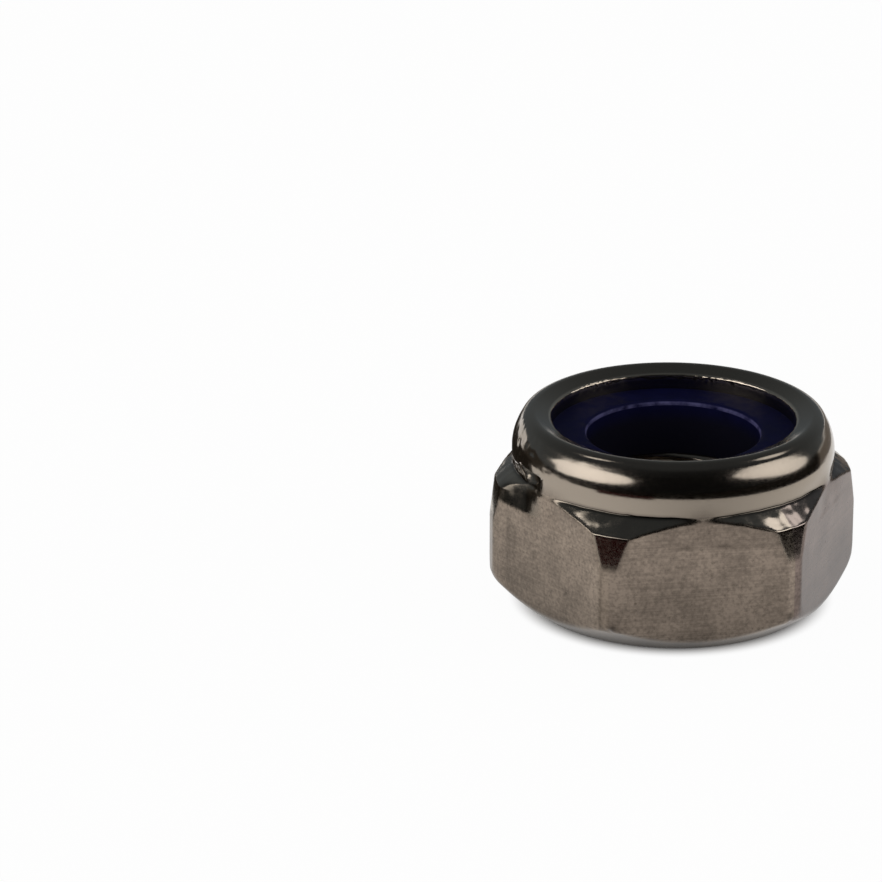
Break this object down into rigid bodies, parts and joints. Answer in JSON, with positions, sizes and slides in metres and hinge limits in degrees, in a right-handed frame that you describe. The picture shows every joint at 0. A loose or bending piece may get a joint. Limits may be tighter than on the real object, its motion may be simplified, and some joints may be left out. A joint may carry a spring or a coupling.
{
  "type": "self-locking hexagon nut",
  "caption": "Stainless hexagon lock nut: a rolled collar traps a dark blue nylon ring whose undersize hole grips the bolt's thread.",
  "frame": {"origin": "centre of the bearing face, on the thread axis", "axes": "+Z along the thread axis from the bearing face to the rolled rim; X through two opposite corners; Y across two opposite flats"},
  "size_m": [0.0112, 0.01, 0.0059],
  "materials": {
    "stainless_steel": "cold formed, bright, with fine drag lines on the flats and a smooth rolled collar",
    "blue_nylon": "moulded, satin, with a pale nicked edge round the hole"
  },
  "bodies": {
    "root": {"nut_body": "stainless_steel", "locking_ring": "blue_nylon"}
  },
  "joints": []
}
